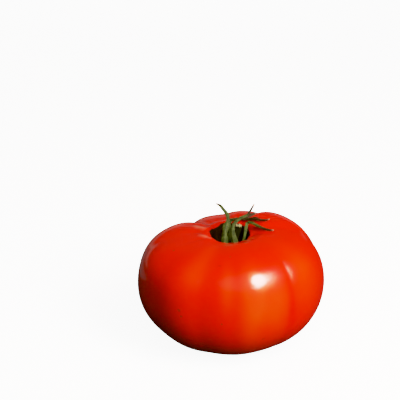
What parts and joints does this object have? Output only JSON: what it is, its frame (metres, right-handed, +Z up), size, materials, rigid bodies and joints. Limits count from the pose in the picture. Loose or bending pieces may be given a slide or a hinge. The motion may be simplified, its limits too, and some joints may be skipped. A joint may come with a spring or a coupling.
{
  "type": "tomato",
  "caption": "Whole ripe beefsteak tomato, a broad ribbed red fruit with a sunken stem end that holds its green calyx and a stub of stalk, standing on a small flat spot.",
  "frame": {"origin": "centre of the flat spot that the fruit stands on", "axes": "+Z up along the fruit's core to the stem end, -Y towards the side that the picture shows, +X to its right"},
  "size_m": [0.0947, 0.0893, 0.072],
  "materials": {
    "skin": "smooth waxy skin, glossy",
    "sepal": "matt green leaf, drying brown at the tips",
    "stalk": "matt green stalk, pale at the torn end"
  },
  "bodies": {
    "root": {"fruit": "skin", "calyx": "sepal", "stem_stub": "stalk"}
  },
  "joints": []
}
